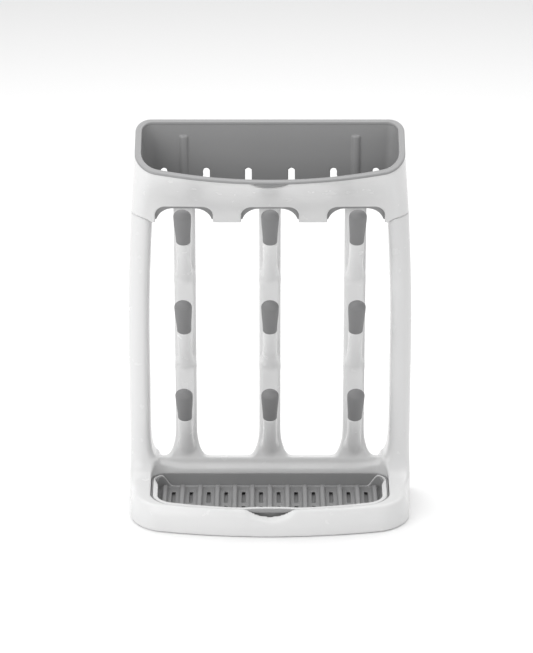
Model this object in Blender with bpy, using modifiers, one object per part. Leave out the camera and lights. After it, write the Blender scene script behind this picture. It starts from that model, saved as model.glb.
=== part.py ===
"""Bottle drying rack: a white stand with nine pegs, a lift-out drip tray and a lift-out top bin.

Units are metres, +Z is up, +X is to the right and the front of the rack faces -Y. The origin lies
on the surface that the rack stands on, under the middle of its outline.
"""

import math
from collections import namedtuple

import bmesh
import bpy
from mathutils import Matrix, Vector

MM = 0.001

# ---------------------------------------------------------------- driving dimensions
WIDTH = 241 * MM
HEIGHT = 333 * MM
REAR = 54.5 * MM
FRONT = -54.5 * MM
GAP = 0.3 * MM

UPRIGHT_Y = 36.5 * MM
UPRIGHT_WIDTH = 18.2 * MM
UPRIGHT_DEPTH = 11 * MM
COLUMN_PITCH = 71.7 * MM
COLUMNS = {"left": -COLUMN_PITCH, "centre": 0.0, "right": COLUMN_PITCH}

POST_WIDTH = 18 * MM
POST_FRONT = UPRIGHT_Y - 8 * MM
POST_TAPER = 9.5 * MM
POST_ROUND = (6 * MM, 12 * MM)
TAPER_START = 150 * MM

DECK = 22.5 * MM
RAIL_TOP = 34.7 * MM
SHELL_SEAM = 250 * MM
FILLET_WIDTH = 9.5 * MM
FILLET_HEIGHT = 27 * MM

PEG_TILT = math.radians(40)
PEG_LENGTH = 98.5 * MM
PEG_ROWS = {"low": 45.6 * MM, "middle": 124.0 * MM, "top": 202.4 * MM}
CAP_START = 52 * MM
STUB_LENGTH = 34 * MM
SHAFT_HALF = (6.0 * MM, 4.1 * MM)
STUB_HALF = (3.6 * MM, 2.4 * MM)
BULB_HALF = (7.3 * MM, 4.9 * MM)

BIN_FLOOR = 266 * MM
RIM_REAR = UPRIGHT_Y + 15 * MM
RIM_FRONT = UPRIGHT_Y - 50 * MM
RIM_SLOPE = math.tan(math.radians(28))
RIM_DEPTH = 1.4 * MM
SHELL_WALL = {"side": 2.2 * MM, "front": 1.5 * MM, "rear": 1.3 * MM}
LINER_BACK = {key: value + 2 * GAP for key, value in SHELL_WALL.items()}
RIM_BAND = {"side": 4.6 * MM, "front": 3.4 * MM, "rear": 3.1 * MM}

APRON_LOW, APRON_HIGH = 0.4, 0.5
GRIP_HALF = 15.4 * MM
GRIP_DROP = 7.9 * MM

RIB_PITCH = 15 * MM
SCREW_LOW_Z = 18 * MM
FOOT_RADIUS = 6 * MM

CORNER_STEPS = 5
FRONT_STEPS = 6
ROUND_SIDES = 12

Plan = namedtuple("Plan", "half_rear half_front rear front sag rear_radius front_radius")

BASE_PLAN = Plan(WIDTH / 2, 118 * MM, REAR, FRONT, 17.4 * MM, 8 * MM, 26 * MM)
BASIN_PLAN = Plan(102 * MM, 101 * MM, UPRIGHT_Y - 3 * MM, FRONT + 7.5 * MM, 16 * MM, 25 * MM, 17 * MM)
SKIRT_PLAN = Plan(116.7 * MM, 116.7 * MM, REAR, POST_FRONT, 0.4 * MM, 4 * MM, 12 * MM)
RIM_PLAN = Plan(111 * MM, 111 * MM, RIM_REAR, RIM_FRONT, 14 * MM, 12 * MM, 17 * MM)


# ---------------------------------------------------------------- scene and materials
def clear_scene():
    for obj in list(bpy.data.objects):
        bpy.data.objects.remove(obj, do_unlink=True)


def collection(name):
    made = bpy.data.collections.new(name)
    bpy.context.scene.collection.children.link(made)
    return made


def principled(name, colour, roughness, metallic=0.0):
    made = bpy.data.materials.new(name)
    made.use_nodes = True
    shader = made.node_tree.nodes["Principled BSDF"]
    shader.inputs["Base Color"].default_value = (*colour, 1.0)
    shader.inputs["Roughness"].default_value = roughness
    shader.inputs["Metallic"].default_value = metallic
    return made


clear_scene()
PARTS = collection("bottle_drying_rack")
GUIDES = collection("cutters_and_joined_shapes")
WHITE = principled("white_plastic", (0.83, 0.83, 0.83), 0.35)
GREY = principled("grey_plastic", (0.22, 0.22, 0.22), 0.42)
SOFT_GREY = principled("soft_grey_rubber", (0.20, 0.20, 0.20), 0.6)
FOOT_GREY = principled("foot_rubber", (0.12, 0.12, 0.12), 0.8)
STEEL = principled("screw_steel", (0.55, 0.55, 0.56), 0.35, 1.0)


# ---------------------------------------------------------------- outlines
def corner(start, apex, end):
    """The points of a round corner from start to end, both included."""
    pull = 0.5523
    start, apex, end = (Vector(p) for p in (start, apex, end))
    first = start.lerp(apex, pull)
    second = end.lerp(apex, pull)
    points = []
    for step in range(CORNER_STEPS + 1):
        t = step / CORNER_STEPS
        u = 1 - t
        point = start * u**3 + first * (3 * u * u * t) + second * (3 * u * t * t) + end * t**3
        points.append(tuple(point))
    return points


def d_outline(plan):
    """A plan with a straight rear, straight sides, a bowed front and four round corners."""
    side_front = plan.front + plan.sag
    lean = (plan.half_front - plan.half_rear) / (side_front - plan.rear)

    def side(y):
        return (plan.half_rear + lean * (y - plan.rear), y)

    def bow(x):
        return (x, plan.front + plan.sag * (x / plan.half_front) ** 2)

    bow_start = plan.half_front - plan.front_radius
    right = corner(
        (plan.half_rear - plan.rear_radius, plan.rear),
        (plan.half_rear, plan.rear),
        side(plan.rear - plan.rear_radius),
    )
    right += corner(
        side(side_front + plan.front_radius), (plan.half_front, side_front), bow(bow_start)
    )
    right += [bow(bow_start * (1 - step / FRONT_STEPS)) for step in range(1, FRONT_STEPS)]
    left = [(-x, y) for x, y in reversed(right)]
    return [*right, bow(0), *left]


def inset(plan, side, front, rear, side_front=None):
    """The plan moved inwards on each side; side_front is the inset where the side meets the front."""
    side_front = side if side_front is None else side_front
    return plan._replace(
        half_rear=plan.half_rear - side,
        half_front=plan.half_front - side_front,
        rear=plan.rear - rear,
        front=plan.front + front,
        rear_radius=max(plan.rear_radius - min(side, rear), 2 * MM),
        front_radius=max(plan.front_radius - min(side_front, front), 3 * MM),
    )


def rounded_rectangle(x0, x1, y0, y1, front_left, front_right, rear):
    """A rectangle in plan with its own radius at each front corner and one for the rear pair."""
    return [
        *corner((x0 + rear, y1), (x0, y1), (x0, y1 - rear)),
        *corner((x0, y0 + front_left), (x0, y0), (x0 + front_left, y0)),
        *corner((x1 - front_right, y0), (x1, y0), (x1, y0 + front_right)),
        *corner((x1, y1 - rear), (x1, y1), (x1 - rear, y1)),
    ]


def ellipse(half_x, half_y, sides=ROUND_SIDES):
    turns = [math.tau * step / sides for step in range(sides)]
    return [(half_x * math.cos(turn), half_y * math.sin(turn)) for turn in turns]


def level(outline, z):
    """The outline as a ring in space; z is a height or a function of x and y."""
    return [(x, y, z(x, y) if callable(z) else z) for x, y in outline]


def blend_outline(first, second, across, ahead):
    """Part of the way from one outline to another: across is the share in x, ahead the share in y."""
    return [
        (a + (c - a) * across, b + (d - b) * ahead) for (a, b), (c, d) in zip(first, second)
    ]


# ---------------------------------------------------------------- solids
def new_object(name, mesh, material, group, place=(0, 0, 0), turn=(0, 0, 0)):
    mesh.shade_smooth()
    mesh.set_sharp_from_angle(angle=math.radians(32))
    obj = bpy.data.objects.new(name, mesh)
    obj.location = place
    obj.rotation_euler = turn
    if material:
        mesh.materials.append(material)
    if group is GUIDES:
        obj.hide_render = True
        obj.display_type = "WIRE"
    group.objects.link(obj)
    return obj


def loft(name, rings, material=None, group=None, place=(0, 0, 0), turn=(0, 0, 0), hoop=False):
    """One closed solid through rings of equal length: capped at both ends, or a hoop without ends."""
    mesh = bpy.data.meshes.new(name)
    shape = bmesh.new()
    loops = [[shape.verts.new(point) for point in ring] for ring in rings]
    following = loops[1:] + ([loops[0]] if hoop else [])
    for low, high in zip(loops, following):
        for index in range(len(low)):
            after = (index + 1) % len(low)
            shape.faces.new((low[index], low[after], high[after], high[index]))
    if not hoop:
        caps = [shape.faces.new(loops[0]), shape.faces.new(loops[-1])]
        bmesh.ops.triangulate(shape, faces=caps)
    bmesh.ops.recalc_face_normals(shape, faces=shape.faces)
    shape.to_mesh(mesh)
    shape.free()
    return new_object(name, mesh, material, group or GUIDES, place, turn)


def box(name, low, high, material=None, group=None, place=(0, 0, 0), turn=(0, 0, 0)):
    mesh = bpy.data.meshes.new(name)
    shape = bmesh.new()
    bmesh.ops.create_cube(shape, size=1)
    size = [b - a for a, b in zip(low, high)]
    middle = [(a + b) / 2 for a, b in zip(low, high)]
    matrix = Matrix.Translation(middle) @ Matrix.Diagonal((*size, 1))
    bmesh.ops.transform(shape, matrix=matrix, verts=shape.verts)
    shape.to_mesh(mesh)
    shape.free()
    return new_object(name, mesh, material, group or GUIDES, place, turn)


def rod(name, radius, length, place, turn=(0, 0, 0), sides=16, material=None, group=None):
    """A cylinder that starts at place and runs along its own +Z."""
    mesh = bpy.data.meshes.new(name)
    shape = bmesh.new()
    bmesh.ops.create_cone(
        shape, cap_ends=True, segments=sides, radius1=radius, radius2=radius, depth=length,
        matrix=Matrix.Translation((0, 0, length / 2)),
    )
    shape.to_mesh(mesh)
    shape.free()
    return new_object(name, mesh, material, group or GUIDES, place, turn)


def combine(target, operation, *others, solver="EXACT"):
    for other in others:
        step = target.modifiers.new(f"{operation.lower()}_{other.name}", "BOOLEAN")
        step.operation = operation
        step.solver = solver
        step.object = other
    return target


def cut(target, *cutters):
    return combine(target, "DIFFERENCE", *cutters)


def join(target, *additions):
    return combine(target, "UNION", *additions)


# ---------------------------------------------------------------- shared curves of the rack
def half_width(z):
    """Half the rack's width at a height: straight low down, drawn in towards the top."""
    share = max(0.0, (z - TAPER_START) / (HEIGHT - TAPER_START))
    return WIDTH / 2 - POST_TAPER * share**1.6


def fillet(z):
    """How far an elliptical fillet stands out at a height above the rail."""
    share = min(1.0, max(0.0, 1 - (z - RAIL_TOP) / FILLET_HEIGHT))
    return FILLET_WIDTH * (1 - math.sqrt(1 - share * share))


def rim_height(drop=0.0):
    """The sloping plane of the bin's rim, lowered by drop."""
    return lambda x, y: HEIGHT - drop - (RIM_REAR - y) * RIM_SLOPE


def levels(start, end, count):
    return [start + (end - start) * step / count for step in range(count + 1)]


# ---------------------------------------------------------------- base
def make_base():
    profile = (
        # height, side at rear, side at front, front, rear: how far the outline is drawn in
        (0.6 * MM, 1.2 * MM, 1.4 * MM, 1.4 * MM, 1.2 * MM),
        (1.8 * MM, 0.3 * MM, 0.5 * MM, 0.5 * MM, 0.3 * MM),
        (13.0 * MM, 0.0, 0.0, 0.0, 0.0),
        (17.8 * MM, 0.0, 1.2 * MM, 2.4 * MM, 0.0),
        (21.0 * MM, 0.2 * MM, 3.0 * MM, 4.6 * MM, 0.2 * MM),
        (DECK, 0.8 * MM, 5.5 * MM, 6.4 * MM, 0.8 * MM),
    )
    rings = [
        level(d_outline(inset(BASE_PLAN, side, front, rear, side_front)), z)
        for z, side, side_front, front, rear in profile
    ]
    rings.append(level(d_outline(inset(BASIN_PLAN, -0.6 * MM, -0.6 * MM, -0.6 * MM)), DECK))
    rings.append(level(d_outline(BASIN_PLAN), DECK - 0.8 * MM))
    rings.append(level(d_outline(inset(BASIN_PLAN, 0.8 * MM, 0.8 * MM, 0.8 * MM)), 4.7 * MM))
    base = loft("base_shell", rings, WHITE, PARTS)

    scoop_radius, scoop_depth = 36 * MM, 6.5 * MM
    scoop = rod(
        "base_scoop", scoop_radius, 30 * MM, (0, FRONT - 10 * MM, DECK - scoop_depth + scoop_radius),
        turn=(-math.pi / 2, 0, 0), sides=64,
    )
    cut(base, scoop)
    channel_top = 19 * MM
    for side in (-1, 1):
        edges = sorted((side * 106 * MM, side * 115.5 * MM))
        low = (edges[0], -8 * MM, -MM)
        high = (edges[1], 27 * MM, channel_top)
        cut(base, box(f"side_channel_{side}", low, high))
    spans = ((77.7, 89), (6, 65.7))
    for side in (-1, 1):
        for near, far in spans:
            edges = sorted((side * near * MM, side * far * MM))
            low = (edges[0], UPRIGHT_Y - 0.5 * MM, -MM)
            high = (edges[1], REAR - 3 * MM, channel_top)
            cut(base, box(f"rear_channel_{side}_{near}", low, high))
    for name, (x, y) in foot_places().items():
        cut(base, rod(f"{name}_pocket", FOOT_RADIUS + GAP, 3.3 * MM, (x, y, -MM)))
    for name, (x, y) in low_screw_places().items():
        cut(base, rod(f"{name}_well", 4.2 * MM, SCREW_LOW_Z + 2 * MM, (x, y, -2 * MM)))
        cut(base, rod(f"{name}_way", 1.9 * MM, 15 * MM, (x, y, SCREW_LOW_Z - 3 * MM)))
    return base


def foot_places():
    return {
        "foot_rear_left": (-97.5 * MM, 46 * MM),
        "foot_rear_right": (97.5 * MM, 46 * MM),
        "foot_front_left": (-84 * MM, -28 * MM),
        "foot_front_right": (84 * MM, -28 * MM),
    }


def make_feet():
    for name, (x, y) in foot_places().items():
        foot = rod(name, FOOT_RADIUS, 2 * MM, (x, y, 0), material=FOOT_GREY, group=PARTS, sides=20)
        edge = foot.modifiers.new("edge", "BEVEL")
        edge.width = 0.4 * MM
        edge.segments = 1


# ---------------------------------------------------------------- frame: side posts and rail
def low_screw_places():
    middle = UPRIGHT_Y + UPRIGHT_DEPTH / 2
    places = {f"base_screw_{name}": (x, middle) for name, x in COLUMNS.items()}
    post = WIDTH / 2 - POST_WIDTH / 2
    places["base_screw_left_post"] = (-post, middle)
    places["base_screw_right_post"] = (post, middle)
    return places


def make_post(side):
    heights = levels(DECK + GAP, RAIL_TOP, 1)
    heights += levels(RAIL_TOP + FILLET_HEIGHT * 0.08, RAIL_TOP + FILLET_HEIGHT, 6)
    heights += levels(TAPER_START, SHELL_SEAM - GAP, 4)
    rings = []
    for z in heights:
        outer = half_width(z)
        inner = outer - POST_WIDTH - fillet(z)
        outline = rounded_rectangle(inner, outer, POST_FRONT, REAR, *POST_ROUND, 3 * MM)
        rings.append([(side * x, y, z) for x, y in outline])
    return loft(f"post_{side}", rings)


def make_frame():
    profile = [
        (-3.0, DECK / MM + 0.3), (-2.6, 24.6), (-1.3, 26.4), (-0.3, 28.4), (0.0, 30.5),
        (0.0, 33.4), (0.5, 34.4), (1.4, 34.7), (9.6, 34.7), (10.6, 34.3), (11.0, 33.3),
        (11.0, DECK / MM + 0.3),
    ]
    reach = 104 * MM
    rings = [
        [(x, UPRIGHT_Y + y * MM, z * MM) for y, z in profile] for x in (-reach, reach)
    ]
    frame = loft("rack_frame", rings, WHITE, PARTS)
    join(frame, make_post(-1), make_post(1))
    tongue = (5.3 * MM, 3.3 * MM)
    for name, x in COLUMNS.items():
        low = (x - tongue[0], UPRIGHT_Y + UPRIGHT_DEPTH / 2 - tongue[1], RAIL_TOP - 5.3 * MM)
        high = (x + tongue[0], UPRIGHT_Y + UPRIGHT_DEPTH / 2 + tongue[1], RAIL_TOP + MM)
        cut(frame, box(f"rail_slot_{name}", low, high))
    for name, (x, y) in low_screw_places().items():
        cut(frame, rod(f"{name}_frame_hole", 1.9 * MM, 16 * MM, (x, y, DECK - MM), sides=12))
    for side in (-1, 1):
        key = tongue_box(side, 0.0)
        join(frame, box(f"post_tongue_{side}", *key))
    return frame


def tongue_box(side, clearance):
    """The tongue on top of a post, and with a clearance the socket that takes it."""
    centre = side * (half_width(SHELL_SEAM) - 10 * MM)
    low = (centre - 4 * MM - clearance, UPRIGHT_Y - MM - clearance, SHELL_SEAM - 2 * MM)
    high = (centre + 4 * MM + clearance, UPRIGHT_Y + 11 * MM + clearance, SHELL_SEAM + 8 * MM + clearance)
    return low, high


# ---------------------------------------------------------------- columns and pegs
def peg_rings():
    """The peg's white core along its own +Z, from inside the upright to the end of its stub."""
    rings = []
    for s in (-7, -3, 1, 6, 12, 20, 30):
        spread = 3.1 * MM * (1 - (s + 7) / 37) ** 2
        rings.append(level(ellipse(SHAFT_HALF[0] + spread, SHAFT_HALF[1] + spread * 0.7), s * MM))
    rings.append(level(ellipse(*SHAFT_HALF), CAP_START - GAP))
    rings.append(level(ellipse(*STUB_HALF), CAP_START - GAP))
    rings.append(level(ellipse(*STUB_HALF), CAP_START + STUB_LENGTH))
    return rings


def make_column(name, x):
    top = BIN_FLOOR - GAP
    heights = levels(RAIL_TOP + GAP, RAIL_TOP + FILLET_HEIGHT, 7) + [top]
    rings = []
    for z in heights:
        half = UPRIGHT_WIDTH / 2 + fillet(z)
        outline = rounded_rectangle(-half, half, 0, UPRIGHT_DEPTH, 3.5 * MM, 3.5 * MM, 2 * MM)
        rings.append(level(outline, z))
    column = loft(f"peg_column_{name}", rings, WHITE, PARTS, place=(x, UPRIGHT_Y, 0))
    middle = UPRIGHT_Y + UPRIGHT_DEPTH / 2
    low = (x - 5 * MM, middle - 3 * MM, RAIL_TOP - 5 * MM)
    high = (x + 5 * MM, middle + 3 * MM, RAIL_TOP + 3 * MM)
    join(column, box(f"column_tongue_{name}", low, high))
    for row, z in PEG_ROWS.items():
        core = loft(
            f"peg_core_{name}_{row}", peg_rings(), place=(x, UPRIGHT_Y, z), turn=(PEG_TILT, 0, 0)
        )
        join(column, core)
    bores = {"low": (RAIL_TOP - 8 * MM, 24 * MM), "top": (top - 12 * MM, 14 * MM)}
    for end, (start, length) in bores.items():
        cut(column, rod(f"column_{end}_bore_{name}", 1.9 * MM, length, (x, middle, start), sides=12))
    return column


def tip_rings():
    """A soft cap: up the pocket's bottom, out over its mouth, and round the bulb to its apex."""
    pocket = [value + GAP for value in STUB_HALF]
    rings = [
        level(ellipse(*pocket), CAP_START + STUB_LENGTH + GAP),
        level(ellipse(*pocket), CAP_START),
        level(ellipse(*SHAFT_HALF), CAP_START),
    ]
    dome = 7.6 * MM
    shoulder = PEG_LENGTH - dome
    for share in (0.3, 0.65, 1.0):
        s = CAP_START + (shoulder - CAP_START) * share
        grow = share * share * (3 - 2 * share)
        rings.append(level(ellipse(*[a + (b - a) * grow for a, b in zip(SHAFT_HALF, BULB_HALF)]), s))
    for turn in (22, 44, 64, 80):
        angle = math.radians(turn)
        size = [value * math.cos(angle) for value in BULB_HALF]
        rings.append(level(ellipse(*size), shoulder + dome * math.sin(angle)))
    return rings


def make_tips():
    for name, x in COLUMNS.items():
        for row, z in PEG_ROWS.items():
            loft(
                f"peg_tip_{name}_{row}", tip_rings(), SOFT_GREY, PARTS,
                place=(x, UPRIGHT_Y, z), turn=(PEG_TILT, 0, 0),
            )


# ---------------------------------------------------------------- top shell and bin liner
def apron_share(t):
    """How far forward the apron stands at a share of its height: steepest at both ends."""
    start = (t**3 - 2 * t**2 + t) * APRON_LOW
    end = (t**3 - t**2) * APRON_HIGH
    return start + end + t * t * (3 - 2 * t)


def shell_rings(side, front, rear, start, drop, count):
    """Rings of the shell's wall drawn in by side, front and rear, from the share start up to the rim."""
    low = d_outline(inset(SKIRT_PLAN, side, front, rear))
    high = d_outline(inset(RIM_PLAN, side, front, rear))
    rim = rim_height(drop)
    rings = []
    for share in levels(start, 1.0, count):
        flat = blend_outline(low, high, share, apron_share(share))
        rings.append([(x, y, SHELL_SEAM + (rim(x, y) - SHELL_SEAM) * share) for x, y in flat])
    return rings


def bin_inner_plan(extra=0.0):
    """The plan of the liner's inner floor."""
    half, rear, front = 103 * MM, UPRIGHT_Y + 10 * MM, UPRIGHT_Y - 15.5 * MM
    return Plan(
        half + extra, half + extra, rear + extra, front - extra, 1.5 * MM, 9 * MM, 10 * MM
    )


def make_shell():
    skin = shell_rings(0, 0, 0, 0.0, RIM_DEPTH + GAP, 8)
    top = rim_height(RIM_DEPTH + GAP)
    outer_top = level(d_outline(inset(RIM_PLAN, 0.4 * MM, 0.4 * MM, 0.4 * MM)), top)
    inner_top = level(d_outline(inset(RIM_PLAN, **SHELL_WALL)), top)
    floor_z = BIN_FLOOR + 2.5 * MM
    floor = level(d_outline(bin_inner_plan(3.4 * MM)), floor_z)
    shell = loft("top_shell", [*skin[:-1], outer_top, inner_top, floor], WHITE, PARTS)

    cut(shell, loft("under_bin", under_bin_rings()))
    for name, x in COLUMNS.items():
        arch = loft(
            f"arch_{name}", [level(arch_outline(), 0), level(arch_outline(), 60 * MM)],
            place=(x, POST_FRONT + 10 * MM, SHELL_SEAM), turn=(math.pi / 2, 0, 0),
        )
        cut(shell, arch)
    for side in (-1, 1):
        cut(shell, box(f"post_socket_{side}", *tongue_box(side, GAP)))
    for index, x in enumerate(slot_places()):
        cut(shell, slot_cutter(f"shell_slot_{index}", x, 1.5 * MM, 6 * MM))
    for name, x in COLUMNS.items():
        place = (x, UPRIGHT_Y + UPRIGHT_DEPTH / 2, BIN_FLOOR - 3 * MM)
        cut(shell, rod(f"shell_screw_hole_{name}", 1.9 * MM, 9 * MM, place, sides=12))
    notch = grip_lens("grip_notch", 0.7 * MM, 12 * MM, 10 * MM)
    return combine(shell, "DIFFERENCE", notch, solver="MANIFOLD")


def under_bin_rings():
    """The open space behind the apron and under the bin's floor, which runs out at the rear."""
    half, rear, thick = 98.5 * MM, REAR + 10 * MM, 2.6 * MM
    low, high = (
        d_outline(Plan(half, half, rear, plan.front + thick, plan.sag, 2 * MM, 3 * MM))
        for plan in (SKIRT_PLAN, RIM_PLAN)
    )
    rings = [level(low, SHELL_SEAM - 20 * MM)]
    for z in levels(SHELL_SEAM, BIN_FLOOR, 3):
        share = share_at(z)
        rings.append(level(blend_outline(low, high, share, apron_share(share)), z))
    return rings


def share_at(z):
    """The share of the apron's height that its middle has reached at z."""
    share = 0.0
    for _ in range(20):
        y = POST_FRONT + (RIM_FRONT - POST_FRONT) * apron_share(share)
        share = (z - SHELL_SEAM) / (rim_height()(0, y) - SHELL_SEAM)
    return share


def arch_outline():
    """A rounded rectangle that runs out below, to clear a bottle on a top peg."""
    half, height, radius = 24 * MM, BIN_FLOOR - SHELL_SEAM, 9 * MM
    below = -5 * MM
    return [
        (half, below),
        *corner((half, height - radius), (half, height), (half - radius, height)),
        *corner((radius - half, height), (-half, height), (-half, height - radius)),
        (-half, below),
    ]


def front_wall():
    """Unit vectors up the sloping front wall just below its rim, and out of it."""
    run = (POST_FRONT - RIM_FRONT) * APRON_HIGH
    rise = rim_height()(0, RIM_FRONT) - SHELL_SEAM - RIM_SLOPE * run
    up = Vector((0, -run, rise)).normalized()
    return up, Vector((0, -up.z, up.y))


def grip_lens(name, extra, above, thickness):
    """The finger grip in the front wall: a lens below the rim's edge, thickness deep and above high."""
    up, out = front_wall()
    half, drop = GRIP_HALF + extra, GRIP_DROP + extra
    radius = (half * half + drop * drop) / (2 * drop)
    sweep = math.asin(half / radius)
    edge = RIM_DEPTH / up.z
    outline = [(half, above), (-half, above)]
    for turn in levels(-sweep, sweep, 12):
        outline.append((radius * math.sin(turn), radius * (1 - math.cos(turn)) - drop - edge))
    rim = rim_height()(0, RIM_FRONT)
    rings = []
    for depth in (-thickness / 2, thickness / 2):
        start = Vector((0, RIM_FRONT, rim)) + out * (depth - 0.9 * MM)
        rings.append([tuple(start + up * v + Vector((u, 0, 0))) for u, v in outline])
    return loft(name, rings)


def slot_places():
    return [sign * step * MM for sign in (-1, 1) for step in (18, 53, 88.5)]


def slot_cutter(name, x, extra, depth):
    """A tall slot with round ends through the rear wall."""
    half, low, high = 2.7 * MM + extra, 275 * MM - extra, 292 * MM + extra
    centres = ((low + half, -1), (high - half, 1))
    outline = []
    for z, sign in centres:
        for step in range(7):
            turn = math.pi * step / 6
            outline.append((x + sign * half * math.cos(turn), z + sign * half * math.sin(turn)))
    y = UPRIGHT_Y + 5 * MM
    return loft(name, [[(a, y, b) for a, b in outline], [(a, REAR + depth, b) for a, b in outline]])


def make_liner():
    inner_rim = inset(RIM_PLAN, **RIM_BAND)
    wall_rim = inset(RIM_PLAN, **LINER_BACK)
    floor_low = BIN_FLOOR + 4.8 * MM
    lip = -0.4 * MM
    rings = [
        level(d_outline(bin_inner_plan(-2 * MM)), floor_low + 1.8 * MM),
        level(d_outline(bin_inner_plan()), floor_low + 3.6 * MM),
        level(d_outline(inner_rim), rim_height(1.2 * MM)),
        level(d_outline(inset(inner_rim, -1 * MM, -0.8 * MM, -0.8 * MM)), rim_height()),
        level(d_outline(inset(RIM_PLAN, 0.8 * MM, 0.8 * MM, 0.8 * MM)), rim_height()),
        level(d_outline(inset(RIM_PLAN, lip, lip, lip)), rim_height(1.2 * MM)),
        level(d_outline(inset(RIM_PLAN, lip, lip, lip)), rim_height(RIM_DEPTH)),
        level(d_outline(wall_rim), rim_height(RIM_DEPTH)),
        level(d_outline(bin_inner_plan(1.9 * MM)), floor_low + 2 * MM),
        level(d_outline(bin_inner_plan(0.5 * MM)), floor_low),
    ]
    liner = loft("bin_liner", rings, GREY, PARTS)
    join(liner, grip_lens("grip_tab", 0, 0.5 * MM, 1.6 * MM))
    for side in (-1, 1):
        join(liner, loft(f"wall_rib_{side}", wall_rib_rings(), place=(side * COLUMN_PITCH, 0, 0)))
    for index, x in enumerate(slot_places()):
        cut(liner, slot_cutter(f"liner_slot_{index}", x, 0, 6 * MM))
    return liner


def wall_rib_rings():
    """A slim upright rib with a round top, half sunk in the rear wall."""
    foot, top = BIN_FLOOR + 7 * MM, 320 * MM
    rear_low = bin_inner_plan().rear
    lean = (RIM_REAR - RIM_BAND["rear"] - rear_low) / (HEIGHT - foot)
    rings = []
    for share, z in ((1.0, foot), (1.0, top - 3 * MM), (0.7, top - 0.9 * MM), (0.25, top)):
        y = rear_low + lean * (z - foot)
        rings.append([(u, y + v, z) for u, v in ellipse(3.5 * MM * share, 1.9 * MM * share)])
    return rings


# ---------------------------------------------------------------- drip tray and drain rack
def make_tray():
    outer = inset(BASIN_PLAN, 0.5 * MM, 0.5 * MM, 1.0 * MM)
    rim_top = DECK - 0.6 * MM
    profile = (
        (10.0 * MM, 6.6 * MM),
        (8.8 * MM, 7.9 * MM),
        (3.4 * MM, 7.9 * MM),
        (2.3 * MM, 9.4 * MM),
        (2.0 * MM, rim_top - 0.6 * MM),
        (1.5 * MM, rim_top),
        (0.5 * MM, rim_top),
        (0.0, rim_top - 0.6 * MM),
        (0.0, rim_top - 3.0 * MM),
        (0.8 * MM, rim_top - 3.8 * MM),
        (1.0 * MM, 7.0 * MM),
        (2.8 * MM, 5.0 * MM),
    )
    rings = [level(d_outline(inset(outer, inward, inward, inward)), z) for inward, z in profile]
    return loft("drip_tray", rings, GREY, PARTS)


def band_top(x, y):
    """The drain frame's upper edge, which dips towards the rear to pass under the lowest pegs."""
    share = min(1.0, max(0.0, (y - (UPRIGHT_Y - 30 * MM)) / (20 * MM)))
    return 20.5 * MM - 9 * MM * share * share * (3 - 2 * share)


def make_drain_frame():
    outer = inset(BASIN_PLAN, 3.15 * MM, 3.15 * MM, 3.65 * MM)
    low = 8.2 * MM
    profile = (
        (1.2 * MM, low),
        (0.1 * MM, 9.6 * MM),
        (0.0, lambda x, y: band_top(x, y) - 0.8 * MM),
        (0.6 * MM, band_top),
        (2.7 * MM, band_top),
        (3.3 * MM, lambda x, y: band_top(x, y) - 0.8 * MM),
        (3.8 * MM, low),
    )
    rings = [level(d_outline(inset(outer, inward, inward, inward)), z) for inward, z in profile]
    return loft("drain_frame", rings, WHITE, PARTS, hoop=True)


def make_grate():
    """A ribbed plate that fills the drain frame, with a slot in each valley between ribs."""
    outline = d_outline(inset(BASIN_PLAN, 7.3 * MM, 7.3 * MM, 7.8 * MM))
    low, plate, crest = 8.2 * MM, 9.6 * MM, 13.8 * MM
    rib_half, narrow = 2.2 * MM, 0.8 * MM
    grate = loft("drain_grate", [level(outline, low), level(outline, crest)], GREY, PARTS)
    count = 6
    for index in range(-count - 1, count + 1):
        left = index * RIB_PITCH + rib_half
        right = (index + 1) * RIB_PITCH - rib_half
        profile = [
            (left - narrow, crest + MM),
            (left + narrow, plate),
            (right - narrow, plate),
            (right + narrow, crest + MM),
        ]
        ends = [[(x, y, z) for x, z in profile] for y in (-60 * MM, 60 * MM)]
        cut(grate, loft(f"valley_{index}", ends))
        middle = (left + right) / 2
        if abs(middle) < count * RIB_PITCH:
            for near, far in ((-34 * MM, -10 * MM), (-4 * MM, 20 * MM)):
                start = (middle - 1.5 * MM, near, low - MM)
                end = (middle + 1.5 * MM, far, plate + MM)
                cut(grate, box(f"drain_slot_{index}_{near / MM:.0f}", start, end))
    return grate


# ---------------------------------------------------------------- screws
def screw(name, place, up, length):
    """A pan-head screw: its head, then a shank that points up or down."""
    turn = (0, 0, 0) if up else (math.pi, 0, 0)
    body = rod(name, 3.1 * MM, 1.7 * MM, place, turn, sides=16, material=STEEL, group=PARTS)
    step = Vector((0, 0, 1.2 * MM if up else -1.2 * MM))
    shank = rod(f"{name}_shank", 1.5 * MM, length, tuple(Vector(place) + step), turn, sides=10)
    return join(body, shank)


def make_screws():
    for name, (x, y) in low_screw_places().items():
        screw(name, (x, y, SCREW_LOW_Z - 1.7 * MM - GAP), True, 18 * MM)
    for name, x in COLUMNS.items():
        place = (x, UPRIGHT_Y + UPRIGHT_DEPTH / 2, BIN_FLOOR + 2.5 * MM + 1.7 * MM + GAP)
        screw(f"shell_screw_{name}", place, False, 12 * MM)


make_base()
make_feet()
make_frame()
for column_name, column_x in COLUMNS.items():
    make_column(column_name, column_x)
make_tips()
make_shell()
make_liner()
make_tray()
make_drain_frame()
make_grate()
make_screws()
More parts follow.
